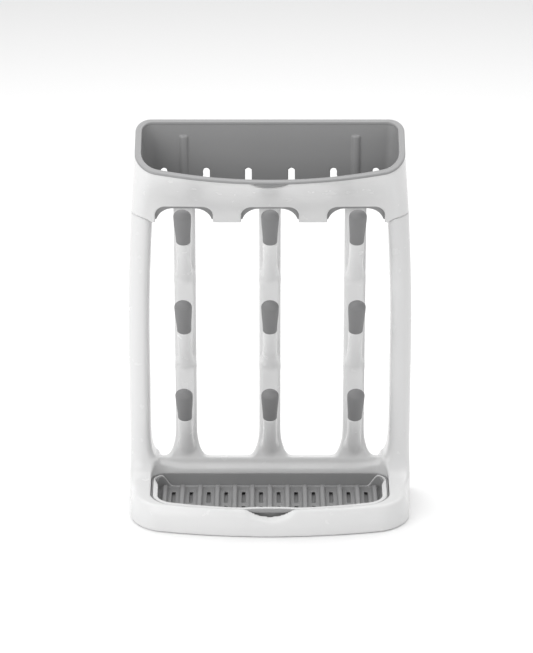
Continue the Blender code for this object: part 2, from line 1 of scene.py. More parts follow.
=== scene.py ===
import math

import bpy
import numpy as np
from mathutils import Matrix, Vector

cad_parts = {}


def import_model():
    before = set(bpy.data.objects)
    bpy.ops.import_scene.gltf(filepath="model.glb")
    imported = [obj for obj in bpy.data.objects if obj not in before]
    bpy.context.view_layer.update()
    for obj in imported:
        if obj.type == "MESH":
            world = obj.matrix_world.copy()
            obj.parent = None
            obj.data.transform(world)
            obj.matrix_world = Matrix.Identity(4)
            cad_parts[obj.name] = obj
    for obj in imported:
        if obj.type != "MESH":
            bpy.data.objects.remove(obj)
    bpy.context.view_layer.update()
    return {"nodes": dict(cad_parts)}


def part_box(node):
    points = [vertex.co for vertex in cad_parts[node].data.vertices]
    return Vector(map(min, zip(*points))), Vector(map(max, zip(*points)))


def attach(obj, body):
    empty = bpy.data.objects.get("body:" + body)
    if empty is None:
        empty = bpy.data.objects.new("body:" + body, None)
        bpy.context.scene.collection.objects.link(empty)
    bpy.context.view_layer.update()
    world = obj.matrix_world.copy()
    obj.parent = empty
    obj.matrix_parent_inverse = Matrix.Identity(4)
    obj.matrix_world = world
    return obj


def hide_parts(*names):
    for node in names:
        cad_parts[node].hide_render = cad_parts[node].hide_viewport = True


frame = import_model()

# Looks of the bottle drying rack. Shapes are written as distance functions in millimetres, negative
# inside, and each is turned into a smooth mesh of even quads. +X is right, -Y front, +Z up.
# A plan is an outline seen from above: half width at the rear and at the front, rear, front, how far
# the front bows forward, rear and front corner radius.

MM = 0.001

# ---------------------------------------------------------------- sizes shared with the frame, in mm
STAND_LOW, STAND_HIGH = (np.array(corner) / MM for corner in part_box("base_shell"))
HALF_WIDTH = STAND_HIGH[0]
BASE_BOTTOM = 0.25
BASIN_FLOOR = 4.7
FRONT = STAND_LOW[1]
REAR = STAND_HIGH[1]
DECK = STAND_HIGH[2]

UPRIGHT_Y = 36.5
UPRIGHT_HALF = 9.1
UPRIGHT_DEPTH = 11.0
PITCH = 71.7
COLUMNS = {"left": -PITCH, "centre": 0.0, "right": PITCH}
ROWS = {"low": 45.6, "middle": 124.0, "top": 202.4}

SCREW_Y = UPRIGHT_Y + UPRIGHT_DEPTH / 2
FOOT_PLACES = ((97.5, 46.0), (84.0, -28.0))

POST_WIDTH = 18.0
POST_FRONT = UPRIGHT_Y - 8.0
POST_TAPER = 9.5
TAPER_START = 150.0
RAIL_TOP = 34.7
RAIL_DEPTH = 6.0
FILLET_WIDTH = 9.5
FILLET_HEIGHT = 27.0
SEAM = 250.0
BIN_FLOOR = 266.0
APRON_WALL = 2.8
HEIGHT = 333.0

PEG_TILT = math.radians(40)
PEG_LENGTH = 98.5
CAP_START = 52.0
SHAFT_HALF = (6.0, 4.1)
BULB_HALF = (7.3, 4.9)

RIM_REAR = UPRIGHT_Y + 15.0
RIM_FRONT = UPRIGHT_Y - 50.0
RIM_ANGLE = math.radians(28)
RIM_SLOPE = math.tan(RIM_ANGLE)
RIM_DEPTH = 1.4
APRON_LOW, APRON_HIGH = 0.4, 0.5
SLOT_CENTRES = np.array((18.0, 53.0, 88.5))

BASE_PLAN = np.array((HALF_WIDTH, 118.0, REAR, FRONT, 17.4, 8.0, 26.0))
BASIN_PLAN = np.array((102.0, 101.0, UPRIGHT_Y - 3.0, FRONT + 7.5, 16.0, 15.0, 17.0))
SKIRT_PLAN = np.array((116.7, 116.7, REAR, POST_FRONT, 0.4, 4.0, 12.0))
RIM_PLAN = np.array((111.0, 111.0, RIM_REAR, RIM_FRONT, 14.0, 12.0, 17.0))
BIN_PLAN = np.array((103.0, 103.0, UPRIGHT_Y + 10.0, UPRIGHT_Y - 15.5, 1.5, 9.0, 10.0))


# ---------------------------------------------------------------- distance functions
def both(a, b, radius):
    """What lies inside a and inside b, with the edge between them rounded."""
    a, b = a + radius, b + radius
    return np.minimum(np.maximum(a, b), 0) + np.hypot(np.maximum(a, 0), np.maximum(b, 0)) - radius


def without(a, b, radius):
    """a with b cut out of it."""
    return both(a, -b, radius)


def blended(a, b, reach):
    """a or b, run softly into each other."""
    share = np.clip(0.5 + 0.5 * (b - a) / reach, 0, 1)
    return b + (a - b) * share - reach * share * (1 - share)


def smooth(low, high, value):
    share = np.clip((value - low) / (high - low), 0, 1)
    return share * share * (3 - 2 * share)


def drawn_in(plan, side, front, rear):
    """A plan moved inwards by side, front and rear, with its corners tightened to suit."""
    half_rear, half_front, back, face, bow, rear_radius, front_radius = plan
    return np.array((
        half_rear - side, half_front - side, back - rear, face + front, bow,
        max(rear_radius - min(side, rear), 2.0), max(front_radius - min(side, front), 3.0),
    ))


def plan_distance(x, y, plan):
    """Distance to the outline of a plan; each entry of plan is a number or an array."""
    half_rear, half_front, rear, front, bow, rear_radius, front_radius = plan
    across = np.abs(x)
    share = (rear - y) / (rear - front - bow)
    side = across - (half_rear + (half_front - half_rear) * share)
    return both(both(side, y - rear, rear_radius), front_distance(x, y, plan), front_radius)


def front_distance(x, y, plan):
    """Distance ahead of the bowed front of a plan."""
    half, front, bow = plan[1], plan[3], plan[4]
    slope = 2 * bow * np.abs(x) / half**2
    return (front + bow * (x / half) ** 2 - y) / np.sqrt(1 + slope**2)


def between(first, second, across, ahead):
    """A plan between two others: one share for its widths and radii, one for its front and rear."""
    shares = (across, across, ahead, ahead, ahead, across, across)
    return [a + (b - a) * share for a, b, share in zip(first, second, shares)]


def apron_share(t):
    """How far forward the apron stands at a share of its height: steepest at both ends."""
    held = np.clip(t, 0, 1)
    start = (held**3 - 2 * held**2 + held) * APRON_LOW
    end = (held**3 - held**2) * APRON_HIGH
    beyond = APRON_LOW * np.minimum(t, 0) + APRON_HIGH * np.maximum(t - 1, 0)
    return start + end + held * held * (3 - 2 * held) + beyond


def ellipse_distance(u, v, half_u, half_v):
    reach = np.hypot(u / half_u, v / half_v) + 1e-6
    return reach * (reach - 1) / np.hypot(u / half_u**2, v / half_v**2).clip(1e-6)


def slot_distance(x, z, centre, half, low, high):
    """A tall slot with round ends."""
    middle = np.clip(z, low + half, high - half)
    return np.hypot(x - centre, z - middle) - half


# ---------------------------------------------------------------- meshes
BLOCK = 4                # grid points along a side of a coarse block
PROBE = 0.05             # how far apart a slope is measured
SETTLE_TURNS = 5
EVEN_TURNS = 3           # the first turns also even the points out
EVEN_SHARE = 0.6
CORNERS = [(a, b, c) for a in (0, 1) for b in (0, 1) for c in (0, 1)]


def grid_values(distance, low, high, step):
    """The distance function on a grid; far from the surface only its sign is kept."""
    counts = [int(math.ceil((b - a) / step / BLOCK)) * BLOCK + BLOCK for a, b in zip(low, high)]
    axes = [a + step * np.arange(count) for a, count in zip(low, counts)]
    coarse_axes = [axis[::BLOCK] + step * (BLOCK - 1) / 2 for axis in axes]
    coarse = distance(*np.meshgrid(*coarse_axes, indexing="ij"))
    values = in_blocks(coarse)
    i, j, k = np.nonzero(in_blocks(np.abs(coarse) < step * BLOCK * 1.5))
    values[i, j, k] = distance(axes[0][i], axes[1][j], axes[2][k])
    return values


def in_blocks(coarse):
    """Each coarse value, held over its whole block of grid points."""
    for axis in range(3):
        coarse = np.repeat(coarse, BLOCK, axis)
    return coarse


def surface_points(values, active):
    """One point per cell that the surface passes through: the mean of its edge crossings."""
    i, j, k = active
    held = {(a, b, c): values[i + a, j + b, k + c] for a, b, c in CORNERS}
    total = np.zeros((len(i), 3))
    count = np.zeros(len(i))
    for start in CORNERS:
        for axis in range(3):
            if start[axis]:
                continue
            end = tuple(1 if n == axis else start[n] for n in range(3))
            a, b = held[start], held[end]
            crossed = (a < 0) != (b < 0)
            share = np.where(crossed, a / np.where(crossed, a - b, 1), 0)
            for n in range(3):
                total[:, n] += np.where(crossed, start[n] + (share if n == axis else 0), 0)
            count += crossed
    return total / count[:, None] + np.stack(active, axis=1)


def surface_mesh(distance, low, high, step):
    """Vertices and quads of the surface where the distance is nought."""
    values = grid_values(distance, low, high, step)
    inside = values < 0
    cells = tuple(n - 1 for n in values.shape)
    corners_inside = np.zeros(cells, dtype=np.int8)
    for a, b, c in CORNERS:
        corners_inside += inside[a:a + cells[0], b:b + cells[1], c:c + cells[2]]
    active = np.nonzero((corners_inside > 0) & (corners_inside < 8))
    index = np.full(cells, -1, dtype=np.int32)
    index[active] = np.arange(len(active[0]))
    points = surface_points(values, active) * step + np.array(low)

    quads = []
    for axis in range(3):
        other, third = (axis + 1) % 3, (axis + 2) % 3
        start = inside[tuple(slice(0, -1) if n == axis else slice(1, -1) for n in range(3))]
        end = inside[tuple(slice(1, None) if n == axis else slice(1, -1) for n in range(3))]
        for crossed, turned in ((start & ~end, 1), (~start & end, -1)):
            found = np.stack(np.nonzero(crossed), axis=1)
            ring = []
            for step_other, step_third in ((1, 1), (0, 1), (0, 0), (1, 0)):
                place = found.copy()
                place[:, other] += step_other
                place[:, third] += step_third
                ring.append(index[place[:, 0], place[:, 1], place[:, 2]])
            quads.append(np.stack(ring[::turned], axis=1))
    quads = np.concatenate(quads)
    return settle(distance, points, quads, step), quads


def evened(points, quads):
    """How far each point is from the mean of its neighbours."""
    total, count = np.zeros_like(points), np.zeros(len(points))
    for start in range(4):
        for end in ((start + 1) % 4, (start + 3) % 4):
            count += np.bincount(quads[:, start], minlength=len(points))
            for axis in range(3):
                held = points[quads[:, end], axis]
                total[:, axis] += np.bincount(quads[:, start], held, minlength=len(points))
    return total / count[:, None] - points


def settle(distance, points, quads, step):
    """Moves the points onto the surface along the function's slope, and evens them out along it."""
    for turn in range(SETTLE_TURNS):
        value = distance(*points.T)
        slope = np.stack([
            (distance(*(points + probe).T) - distance(*(points - probe).T)) / (2 * PROBE)
            for probe in PROBE * np.eye(3)
        ], axis=1)
        size = np.maximum((slope**2).sum(axis=1), 0.05)
        move = -slope * (value / size)[:, None]
        if turn < EVEN_TURNS:
            even = evened(points, quads)
            even -= slope * ((even * slope).sum(axis=1) / size)[:, None]
            move += EVEN_SHARE * even
        length = np.linalg.norm(move, axis=1)
        move *= np.minimum(1, 0.5 * step / np.maximum(length, 1e-9))[:, None]
        points = points + move
    return points


def new_piece(name, points, faces, material, body, nodes):
    """A smooth-shaded mesh from points in mm, in place of the named nodes."""
    mesh = bpy.data.meshes.new(name)
    points = np.asarray(points, dtype=np.float32) * MM
    faces = np.asarray(faces, dtype=np.int32)
    sides = faces.shape[1]
    mesh.vertices.add(len(points))
    mesh.vertices.foreach_set("co", points.ravel())
    mesh.loops.add(faces.size)
    mesh.loops.foreach_set("vertex_index", faces.ravel())
    mesh.polygons.add(len(faces))
    mesh.polygons.foreach_set("loop_start", np.arange(len(faces), dtype=np.int32) * sides)
    mesh.update(calc_edges=True)
    mesh.validate()
    mesh.shade_smooth()
    mesh.materials.append(material)
    made = bpy.data.objects.new(name, mesh)
    bpy.context.scene.collection.objects.link(made)
    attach(made, body)
    if nodes:
        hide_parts(*nodes)
    return made


def solid(name, distance, low, high, step, material, body, nodes):
    points, quads = surface_mesh(distance, low, high, step)
    return new_piece(name, points, quads, material, body, nodes)


# ---------------------------------------------------------------- shared curves
def half_width(z):
    """The stand's half width, which draws in towards the top."""
    share = np.clip((z - TAPER_START) / (HEIGHT - TAPER_START), 0, None)
    return HALF_WIDTH - POST_TAPER * share**1.6


def from_column(x):
    """Distance across from the nearest upright's middle."""
    return x - np.round(np.clip(x / PITCH, -1, 1)) * PITCH


def fillet(z):
    """How much an upright or a post widens towards the rail at its foot."""
    share = np.clip(1 - (z - RAIL_TOP) / FILLET_HEIGHT, 0, 1)
    return FILLET_WIDTH * (1 - np.sqrt(1 - share * share))


def rim_height(y):
    return HEIGHT - (RIM_REAR - y) * RIM_SLOPE


def below_rim(y, z, drop):
    """Distance above the rim's plane lowered by drop."""
    return (z - rim_height(y) + drop) * math.cos(RIM_ANGLE)


# ---------------------------------------------------------------- the white stand
def base_distance(x, y, z):
    """The base's outside, with its leaning front lip and the scoop for a finger."""
    outline = plan_distance(x, y, BASE_PLAN)
    frontness = 1 - smooth(-6.0, 30.0, y)
    ridge, fall = 13.2, 0.5 * frontness
    lip = (outline + fall * (z - ridge)) / np.sqrt(1 + fall**2)
    body = both(outline, lip, 2.5)
    body = both(body, z - DECK, 2.0)
    body = both(body, BASE_BOTTOM - z, 1.4)
    dip = math.radians(31)
    radius = 42.0
    height = (z - 16.6) * math.cos(dip) - (y - FRONT - 7.5) * math.sin(dip) - radius
    scoop = np.hypot(x, height) - radius
    scoop = np.maximum(scoop, y - FRONT - 20.0)
    body = without(body, scoop, 1.2)
    return body


def rounded_box(x, y, z, low, high, radius):
    middle = [(a + b) / 2 for a, b in zip(low, high)]
    half = [(b - a) / 2 for a, b in zip(low, high)]
    body = both(np.abs(x - middle[0]) - half[0], np.abs(y - middle[1]) - half[1], radius)
    return both(body, np.abs(z - middle[2]) - half[2], radius)


def underside_distance(x, y, z):
    """The channels, screw wells and foot pockets in the base's underside."""
    across = np.abs(x)
    top = 19.0
    space = rounded_box(across, y, z, (106.0, -8.0, -9.0), (115.5, 27.0, top), 2.0)
    for near, far in ((77.7, 89.0), (6.0, 65.7)):
        low, high = (near, UPRIGHT_Y - 0.5, -9.0), (far, REAR - 3.0, top)
        space = np.minimum(space, rounded_box(across, y, z, low, high, 2.0))
    for place_x, place_y in FOOT_PLACES:
        pocket = np.hypot(across - place_x, y - place_y) - 6.3
        space = np.minimum(space, both(pocket, z - 2.3, 0.3))
    for place_x in (0.0, PITCH, HALF_WIDTH - POST_WIDTH / 2):
        well = np.hypot(across - place_x, y - SCREW_Y) - 4.2
        space = np.minimum(space, both(well, z - 18.0, 0.3))
    return space


def seam_height(x):
    """The seam between the posts and the shell runs level, and sweeps up round the outside."""
    outward = np.clip(np.abs(x) - 98.7, 0, None)
    return SEAM + 7.4 * (1 - np.exp(-outward / 8.5))


def post_distance(x, y, z):
    across = np.abs(x)
    outer = half_width(z)
    body = both(across - outer, POST_FRONT - y, 12.0)
    body = both(body, outer - POST_WIDTH - 0.5 * fillet(z) - across, 6.0)
    body = both(body, y - REAR, 3.0)
    body = np.maximum(body, z - seam_height(x) + 0.15)
    return np.maximum(body, 15.0 - z)


def rail_distance(x, y, z):
    cove = np.clip((30.5 - z) / 8.0, 0, 1)
    face = UPRIGHT_Y - 3.0 * (1 - np.sqrt(1 - cove * cove))
    body = both(face - y, z - RAIL_TOP, 1.6)
    body = both(body, y - UPRIGHT_Y - RAIL_DEPTH, 2.5)
    body = np.maximum(body, 15.0 - z)
    return np.maximum(body, np.abs(x) - 108.0)


def column_distance(x, y, z):
    half = UPRIGHT_HALF + fillet(z) * smooth(RAIL_DEPTH + 2.5, RAIL_DEPTH - 1.5, y - UPRIGHT_Y)
    body = both(np.abs(x) - half, UPRIGHT_Y - y, 3.5)
    body = both(body, y - UPRIGHT_Y - UPRIGHT_DEPTH, 2.0)
    body = np.maximum(body, z - BIN_FLOOR + 0.3)
    return np.maximum(body, 15.0 - z)


def peg_space(y, z, root):
    """Distance along a peg and across it, in the plane it leans in."""
    ahead, above = y - UPRIGHT_Y, z - root
    along = above * math.cos(PEG_TILT) - ahead * math.sin(PEG_TILT)
    across = ahead * math.cos(PEG_TILT) + above * math.sin(PEG_TILT)
    return along, across


def core_distance(x, y, z, root):
    """A peg's white core, which spreads towards its root in the upright."""
    along, across = peg_space(y, z, root)
    spread = 2.1 * np.clip((30.0 - along) / 37.0, 0, 1.2) ** 2
    body = ellipse_distance(x, across, SHAFT_HALF[0] + spread, SHAFT_HALF[1] + 0.7 * spread)
    body = both(body, along - CAP_START + 0.3, 0.3)
    return np.maximum(body, -8.0 - along)


def underside_cut(x, y, z):
    """Keeps the soft joins clear of the underside's hollows."""
    return both(-underside_distance(x, y, z), BASE_BOTTOM - z, 0.3)


def stand_distance(x, y, z):
    """Base, posts, rail, uprights and the pegs' white cores, as one moulding."""
    local = from_column(x)
    body = blended(base_distance(x, y, z), post_distance(x, y, z), 22.0)
    outside = both(np.abs(x) - half_width(z), y - REAR, 3.0)
    frame_part = blended(rail_distance(x, y, z), column_distance(local, y, z), 1.5)
    body = blended(body, frame_part, 2.5 + 8.0 * smooth(RAIL_TOP - 1.0, RAIL_TOP - 8.0, z))
    body = np.maximum(body, outside)
    basin = both(plan_distance(x, y, BASIN_PLAN), BASIN_FLOOR - z, 2.0)
    body = without(body, basin, 0.9)
    body = np.maximum(body, underside_cut(x, y, z))
    for root in ROWS.values():
        body = blended(body, core_distance(local, y, z, root), 2.5)
    return body


# ---------------------------------------------------------------- the white shell of the bin
def grip_shape(x, y, z, extra):
    """The lens of the finger grip, seen square to the sloping front wall."""
    run = (POST_FRONT - RIM_FRONT) * APRON_HIGH
    rise = rim_height(RIM_FRONT) - SEAM - RIM_SLOPE * run
    length = math.hypot(rise, run)
    up_y, up_z = -run / length, rise / length
    along = (y - RIM_FRONT) * up_y + (z - rim_height(RIM_FRONT)) * up_z
    edge = RIM_DEPTH / up_z
    half, drop = 15.4 + extra, 7.9 + extra
    radius = (half * half + drop * drop) / (2 * drop)
    return np.hypot(x, along + edge + drop - radius) - radius


def wall_plan(y, z):
    """The shell's outline at a height, from the skirt on the posts to the rim."""
    share = np.clip((z - SEAM) / (rim_height(y) - SEAM), -0.3, 1.1)
    return between(SKIRT_PLAN, RIM_PLAN, share, apron_share(share))


def liner_plan(y, z, extra, band):
    """The bin's outline at a height: extra is added at its foot, band is drawn in at its rim."""
    foot = BIN_FLOOR + 5.0
    share = np.clip((z - foot) / (rim_height(y) - foot), 0, 1.1)
    low = drawn_in(BIN_PLAN, -extra, -extra, -extra)
    return between(low, drawn_in(RIM_PLAN, *band), share, share)


def slots_distance(x, z, half, low, high):
    """The drain slots in the rear walls, mirrored about the middle."""
    nearest = np.abs(np.abs(x)[..., None] - SLOT_CENTRES).argmin(axis=-1)
    centre = SLOT_CENTRES[nearest]
    return slot_distance(np.abs(x), z, centre, half, low, high)


def deep(y, z):
    """Runs from nought at the rim to one where the walls reach their full thickness."""
    return smooth(2.0, 22.0, rim_height(y) - z)


def shell_distance(x, y, z):
    """The shell: outer wall, the bin's cavity, the hollow behind the apron, arches, slots and grip."""
    body = plan_distance(x, y, wall_plan(y, z))
    body = both(body, below_rim(y, z, RIM_DEPTH + 0.35), 0.5)
    body = both(body, seam_height(x) + 0.15 - z, 0.6)
    ahead = front_distance(x, y, wall_plan(y, z))
    cavity = plan_distance(x, y, liner_plan(y, z, 2.6, (2.2, 1.2, 1.4)))
    cavity = both(cavity, ahead + 1.2 + 0.6 * deep(y, z), 2.0)
    cavity = both(cavity, BIN_FLOOR + 2.5 - z, 3.0)
    body = without(body, cavity, 0.4)
    hollow = both(np.abs(x) - 98.5, ahead + APRON_WALL, 3.0)
    hollow = both(hollow, z - BIN_FLOOR, 1.5)
    body = without(body, hollow, 0.8)
    local = from_column(x)
    arch = both(np.abs(local) - 24.0, z - BIN_FLOOR, 9.0)
    arch = np.maximum(arch, -ahead - 6.0)
    body = without(body, arch, 0.6)
    slots = slots_distance(x, z, 4.2, 273.5, 293.5)
    slots = np.maximum(slots, UPRIGHT_Y + 2.0 - y)
    body = without(body, slots, 0.5)
    notch = both(grip_shape(x, y, z, 0.8), y - UPRIGHT_Y + 10.0, 0.5)
    return without(body, notch, 0.5)


def painted_shade_lining_distance(x, y, z):
    """A grey inner wall close behind the apron, whose openings are rounder than the arches; its grey is
    painted shade, standing for the shadow in the recess behind the arches.
    """
    ahead = front_distance(x, y, wall_plan(y, z))
    body = both(np.abs(ahead + 4.4) - 0.8, np.abs(z - SEAM - 9.5) - 7.5, 0.4)
    local = from_column(x)
    body = both(body, np.abs(local) - 30.0, 0.4)
    opening = both(np.abs(local) - 23.6, z - BIN_FLOOR + 3.2, 15.0)
    return without(body, opening, 0.4)


# ---------------------------------------------------------------- the grey liner of the bin
def liner_distance(x, y, z):
    """The liner without its rim: walls, floor, two wall ribs, drain slots and the grip's tab."""
    ahead = front_distance(x, y, wall_plan(y, z))
    outer = plan_distance(x, y, liner_plan(y, z, 1.5, (3.0, 1.7, 1.9)))
    outer = both(outer, ahead + 1.7 + 0.7 * deep(y, z), 2.0)
    outer = both(outer, BIN_FLOOR + 3.2 - z, 3.0)
    body = both(outer, below_rim(y, z, 1.0), 0.2)
    inner = plan_distance(x, y, liner_plan(y, z, 0.0, (4.6, 2.9, 2.9)))
    inner = both(inner, ahead + 2.9 + 1.1 * deep(y, z), 2.0)
    inner = both(inner, BIN_FLOOR + 5.0 - z, 4.0)
    body = without(body, inner, 0.9)
    wall = BIN_PLAN[2] + (RIM_REAR - 3.0 - BIN_PLAN[2]) * (z - BIN_FLOOR - 5.0) / 60.0
    rib = ellipse_distance(np.abs(x) - PITCH, y - wall, 3.4, 2.0)
    rib = both(both(rib, z - 320.0, 1.5), BIN_FLOOR + 5.0 - z, 0.5)
    body = blended(body, rib, 1.0)
    slots = slots_distance(x, z, 2.7, 275.0, 292.0)
    slots = np.maximum(slots, UPRIGHT_Y + 5.0 - y)
    body = without(body, slots, 0.4)
    wall_out = plan_distance(x, y, wall_plan(y, z))
    tab = both(grip_shape(x, y, z, 0.0), np.abs(wall_out + 1.2) - 0.8, 0.4)
    tab = np.maximum(tab, below_rim(y, z, 0.3))
    return np.minimum(body, tab)


def outline_points(plan, count):
    """Points round the outline of a plan, found by walking outwards from its middle."""
    turns = np.linspace(0, math.tau, count, endpoint=False)
    half, _, rear, front = plan[:4]
    centre = (rear + front) / 2
    ray = np.stack((np.cos(turns) * half, np.sin(turns) * (rear - front) / 2), axis=1)
    ray /= np.linalg.norm(ray, axis=1)[:, None]
    low, high = np.zeros(count), np.full(count, 1.5 * half)
    for _ in range(40):
        reach = (low + high) / 2
        outside = plan_distance(ray[:, 0] * reach, centre + ray[:, 1] * reach, plan) > 0
        low, high = np.where(outside, low, reach), np.where(outside, reach, high)
    return np.stack((ray[:, 0] * low, centre + ray[:, 1] * low), axis=1)


def rim_bead():
    """The liner's rim: a rounded band swept round its opening, in the rim's sloping plane."""
    count = 900
    outer = outline_points(drawn_in(RIM_PLAN, -0.4, -0.4, -0.4), count)
    inner = outline_points(drawn_in(RIM_PLAN, 4.9, 3.1, 3.1), count)
    section = [(0.0, 1.4), (0.0, 0.7), (0.03, 0.38), (0.09, 0.15), (0.18, 0.03), (0.3, 0.0)]
    section += [(0.45, 0.03), (0.56, 0.1), (0.62, 0.12), (0.7, 0.05), (0.8, 0.0), (0.88, 0.06)]
    section += [(0.95, 0.25), (0.99, 0.55), (1.0, 0.9), (1.0, 2.0), (0.97, 2.3), (0.5, 2.3), (0.5, 1.4)]
    rings = []
    for across, depth in section:
        place = outer + (inner - outer) * across
        rings.append(np.column_stack((place, rim_height(place[:, 1]) - depth)))
    points = np.concatenate(rings)
    here = np.arange(count)
    after = (here + 1) % count
    faces = []
    for ring in range(len(rings)):
        start, end = ring * count, (ring + 1) % len(rings) * count
        faces.append(np.stack((start + here, end + here, end + after, start + after), axis=1))
    return points, np.concatenate(faces)


# ---------------------------------------------------------------- tray, drain rack
def finger(x, y):
    """How far the tray's parts draw in at the front, to leave room for a fingertip."""
    return 2.6 * np.exp(-((x / 19.0) ** 4)) * smooth(0.0, -20.0, y)


def tray_distance(x, y, z):
    """A thin-walled tray with a ledge round its floor, on which the drain rack stands."""
    top = DECK - 1.0
    outline = plan_distance(x, y, drawn_in(BASIN_PLAN, 0.5, 0.5, 1.0))
    drawn = finger(x, y)
    under = smooth(top - 2.4, top - 3.2, z)
    body = outline + under * drawn
    body = both(body, z - top, 0.4)
    body = both(body, 5.0 - z, 2.0)
    ledge = both(outline + 1.1 + drawn, 7.9 - z, 1.4)
    floor_cut = both(outline + 9.3 + drawn, 6.6 - z, 1.2)
    body = without(body, ledge, 0.3)
    return without(body, floor_cut, 0.3)


def band_top(x, y):
    """The drain ring's upper edge, which dips along the rear to pass under the lowest pegs."""
    dip = smooth(UPRIGHT_Y - 30.0, UPRIGHT_Y - 10.0, y) * smooth(94.0, 83.0, np.abs(x))
    return 21.4 - 11.0 * dip


def ring_distance(x, y, z):
    """The drain rack's white ring: a thin wall whose top edge overhangs inwards, less at the rear."""
    outline = plan_distance(x, y, drawn_in(BASIN_PLAN, 1.8, 1.8, 2.3)) + finger(x, y)
    overhang = 3.1 * smooth(24.0, 6.0, y) * smooth(18.2, 18.8, z)
    body = both(outline, -outline - 1.1 - overhang, 0.5)
    body = both(body, z - band_top(x, y), 0.8)
    return both(body, 8.2 - z, 0.4)


def grate_distance(x, y, z):
    """The drain rack's plate: ribs, slots in the valleys between them, and an upstanding wall."""
    outline = plan_distance(x, y, drawn_in(BASIN_PLAN, 7.3, 7.3, 7.8)) + finger(x, y)
    pitch = 15.0
    offset = np.abs(x - np.round(x / pitch) * pitch)
    lean = (offset - 2.2 + (z - 11.7) * 0.18) / 1.016
    rib = both(lean, z - 13.8, 0.9)
    plate = z - 9.6
    body = blended(rib, plate, 1.2)
    body = both(body, outline, 0.8)
    body = both(body, 8.2 - z, 0.3)
    in_valley = pitch / 2 - offset
    run = np.minimum(np.abs(y + 22.0) - 12.0, np.abs(y - 8.0) - 12.0)
    slot = both(in_valley - 1.5, run, 1.4)
    slot = np.maximum(slot, np.abs(x) - 88.0)
    slot = np.maximum(slot, outline + 2.5)
    body = without(body, slot, 0.3)
    wall = plan_distance(x, y, drawn_in(BASIN_PLAN, 3.0, 3.0, 3.5)) + finger(x, y)
    wall_top = band_top(x, y) - 0.5 - 2.9 * smooth(26.0, 22.0, y)
    rim = both(both(wall, -wall - 1.3, 0.4), np.abs(z - (8.2 + wall_top) / 2) - (wall_top - 8.2) / 2, 0.4)
    floor = both(wall, np.abs(z - 9.0) - 0.8, 0.3)
    return np.minimum(body, blended(rim, without(floor, outline, 0.0), 1.5))


def foot_distance(x, y, z):
    """A round pad with a groove in its sole."""
    reach = np.hypot(x, y)
    body = both(reach - 6.0, np.abs(z - 1.0) - 1.0, 0.4)
    groove = np.hypot(reach - 4.2, z) - 0.5
    return without(body, groove, 0.2)


# ---------------------------------------------------------------- materials
def noise(tree, scale, detail, low, high):
    """A noise in object space, ranged from low to high."""
    coordinates = tree.nodes.new("ShaderNodeTexCoord")
    texture = tree.nodes.new("ShaderNodeTexNoise")
    texture.inputs["Scale"].default_value = scale
    texture.inputs["Detail"].default_value = detail
    tree.links.new(coordinates.outputs["Object"], texture.inputs["Vector"])
    ranged = tree.nodes.new("ShaderNodeMapRange")
    ranged.inputs["To Min"].default_value = low
    ranged.inputs["To Max"].default_value = high
    tree.links.new(texture.outputs["Fac"], ranged.inputs["Value"])
    return texture, ranged


def moulded(name, dark, light, rough, grain_scale, grain_depth, patch_scale=14.0, specular=0.5):
    """Moulded plastic: a slightly uneven colour and gloss, and a fine grain in the surface."""
    made = bpy.data.materials.new(name)
    made.use_nodes = True
    tree = made.node_tree
    shader = tree.nodes["Principled BSDF"]
    shader.inputs["Specular IOR Level"].default_value = specular
    _, patch = noise(tree, patch_scale, 3.0, 0.0, 1.0)
    ramp = tree.nodes.new("ShaderNodeValToRGB")
    ramp.color_ramp.elements[0].color = (*dark, 1)
    ramp.color_ramp.elements[1].color = (*light, 1)
    tree.links.new(patch.outputs["Result"], ramp.inputs["Fac"])
    tree.links.new(ramp.outputs["Color"], shader.inputs["Base Color"])
    _, gloss = noise(tree, 90.0, 4.0, rough[0], rough[1])
    tree.links.new(gloss.outputs["Result"], shader.inputs["Roughness"])
    grain, _ = noise(tree, grain_scale, 2.0, 0.0, 1.0)
    bump = tree.nodes.new("ShaderNodeBump")
    bump.inputs["Strength"].default_value = 0.35
    bump.inputs["Distance"].default_value = grain_depth * MM
    tree.links.new(grain.outputs["Fac"], bump.inputs["Height"])
    tree.links.new(bump.outputs["Normal"], shader.inputs["Normal"])
    return made


WHITE = moulded("satin_white_plastic", (0.66, 0.66, 0.66), (0.70, 0.70, 0.70), (0.22, 0.30), 700, 0.006)
GREY = moulded("satin_grey_plastic", (0.25, 0.25, 0.252), (0.285, 0.285, 0.287), (0.30, 0.42), 1600, 0.03)
SOFT = moulded("soft_touch_grey", (0.17, 0.17, 0.172), (0.20, 0.20, 0.202), (0.52, 0.64), 2200, 0.03)
FOOT = moulded("foot_rubber", (0.07, 0.07, 0.07), (0.10, 0.10, 0.10), (0.7, 0.85), 2500, 0.04)
STEEL = moulded("screw_steel", (0.50, 0.50, 0.51), (0.60, 0.60, 0.61), (0.25, 0.40), 3000, 0.02)
STEEL.node_tree.nodes["Principled BSDF"].inputs["Metallic"].default_value = 1.0


